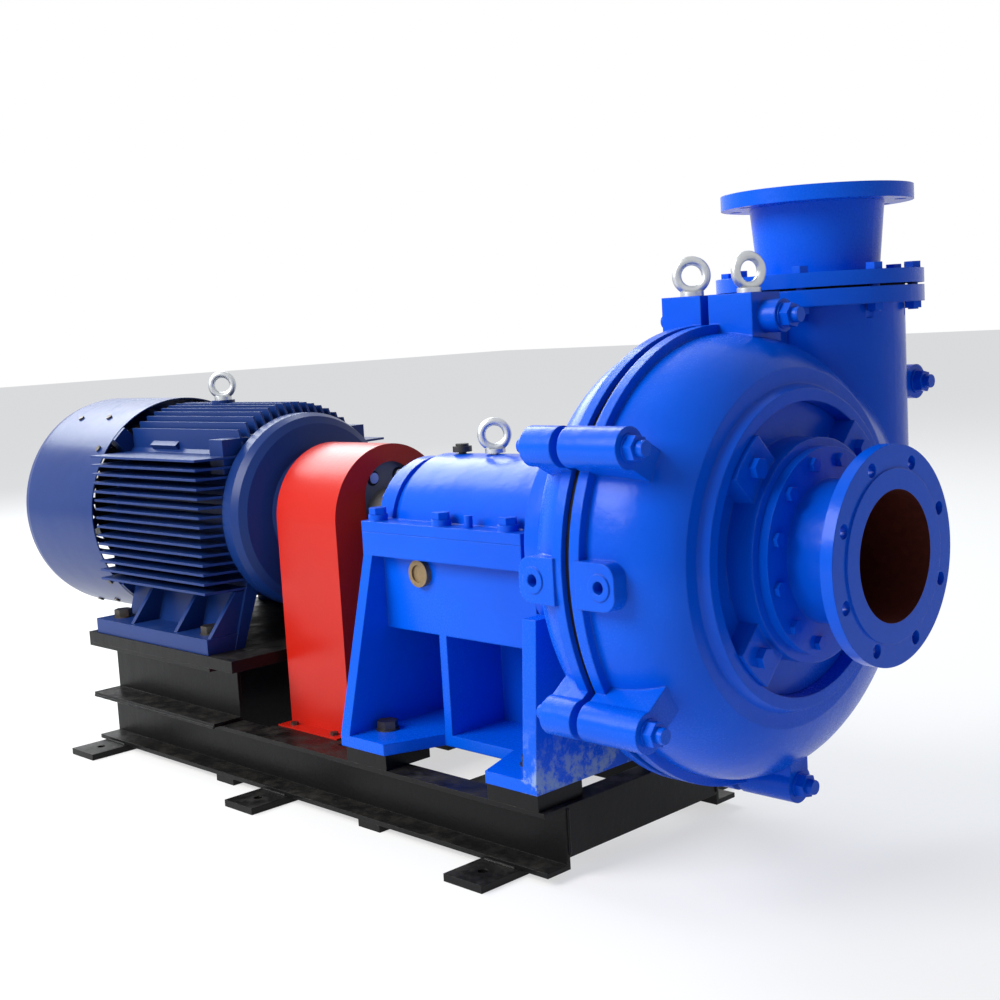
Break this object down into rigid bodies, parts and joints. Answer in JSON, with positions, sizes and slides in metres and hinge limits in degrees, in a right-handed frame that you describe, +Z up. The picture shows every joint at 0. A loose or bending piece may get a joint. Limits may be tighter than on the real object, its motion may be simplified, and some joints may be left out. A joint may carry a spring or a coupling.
{
  "type": "slurry pump set",
  "caption": "Horizontal split-casing slurry pump on a channel base, with bearing bracket, guarded pin coupling and foot-mounted motor.",
  "frame": {"origin": "on the floor, in the middle of the four corner anchor holes", "axes": "+X along the shaft towards the suction flange, +Y towards the discharge side, +Z up"},
  "size_m": [2.33, 0.9389, 1.152],
  "materials": {
    "pump_blue": "glossy",
    "motor_navy": "glossy",
    "guard_red": "semi-gloss",
    "base_black": "semi-gloss",
    "dark_steel": "worn",
    "zinc_steel": "zinc plated",
    "machined_steel": "machined",
    "liner_iron": "as cast",
    "joint_rubber": "matte",
    "seal_packing": "woven",
    "dull_brass": "dull",
    "black_plastic": "matte"
  },
  "bodies": {
    "set": {"base_rail_near": "base_black", "base_rail_far": "base_black", "base_end_channels": "base_black", "base_cross_members": "base_black", "anchor_lugs": "base_black", "bracket_pads": "base_black", "motor_stool_beams": "base_black", "motor_stool_plates": "base_black", "bearing_bracket": "pump_blue", "bearing_cap": "pump_blue", "cap_bolts": "pump_blue", "cap_dowels": "pump_blue", "bracket_foot_bolts": "dark_steel", "oil_sight_glass": "dull_brass", "breather_cap": "black_plastic", "lifting_eyebolts": "zinc_steel", "bearing_outer_rings": "machined_steel", "coupling_end_bearing_cover": "pump_blue", "pump_end_bearing_cover": "pump_blue", "bearing_cover_bolts": "pump_blue", "rear_casing_half": "pump_blue", "front_casing_half": "pump_blue", "casing_gasket": "joint_rubber", "casing_studs": "pump_blue", "casing_bracket_bolts": "pump_blue", "volute_liner": "liner_iron", "back_liner": "liner_iron", "throat_liner": "liner_iron", "suction_cover": "pump_blue", "suction_cover_bolts": "pump_blue", "suction_spool": "pump_blue", "suction_spool_bolts": "pump_blue", "stuffing_box": "pump_blue", "packing_rings": "seal_packing", "packing_gland": "liner_iron", "gland_studs": "dark_steel", "discharge_spool": "pump_blue", "discharge_gasket": "joint_rubber", "discharge_bolts": "pump_blue", "motor_bearings": "machined_steel", "motor_frame": "motor_navy", "motor_stator": "machined_steel", "drive_end_shield": "motor_navy", "rear_end_shield": "motor_navy", "fan_cowl": "motor_navy", "terminal_box": "motor_navy", "motor_foot_bolts": "dark_steel", "coupling_guard": "guard_red", "cover_screws": "dark_steel"},
    "pump_rotor": {"pump_shaft": "machined_steel", "shaft_sleeve": "machined_steel", "impeller": "liner_iron", "bearing_inner_rings": "machined_steel", "pump_coupling_half": "liner_iron"},
    "motor_rotor": {"motor_shaft": "machined_steel", "motor_rotor_core": "machined_steel", "cooling_fan": "black_plastic", "motor_coupling_half": "liner_iron", "coupling_pins": "machined_steel", "coupling_bushes": "joint_rubber"}
  },
  "joints": [
    {"name": "motor_rotor_spin", "type": "hinge", "parent": "set", "child": "motor_rotor", "pos_m": [0, 0, 0.564], "axis": [1, 0, 0], "continuous": true},
    {"name": "pump_rotor_spin", "type": "hinge", "parent": "set", "child": "pump_rotor", "pos_m": [0, 0, 0.564], "axis": [1, 0, 0], "continuous": true}
  ],
  "couplings": [
    {"joint": "pump_rotor_spin", "follows": "motor_rotor_spin", "ratio": 1}
  ]
}
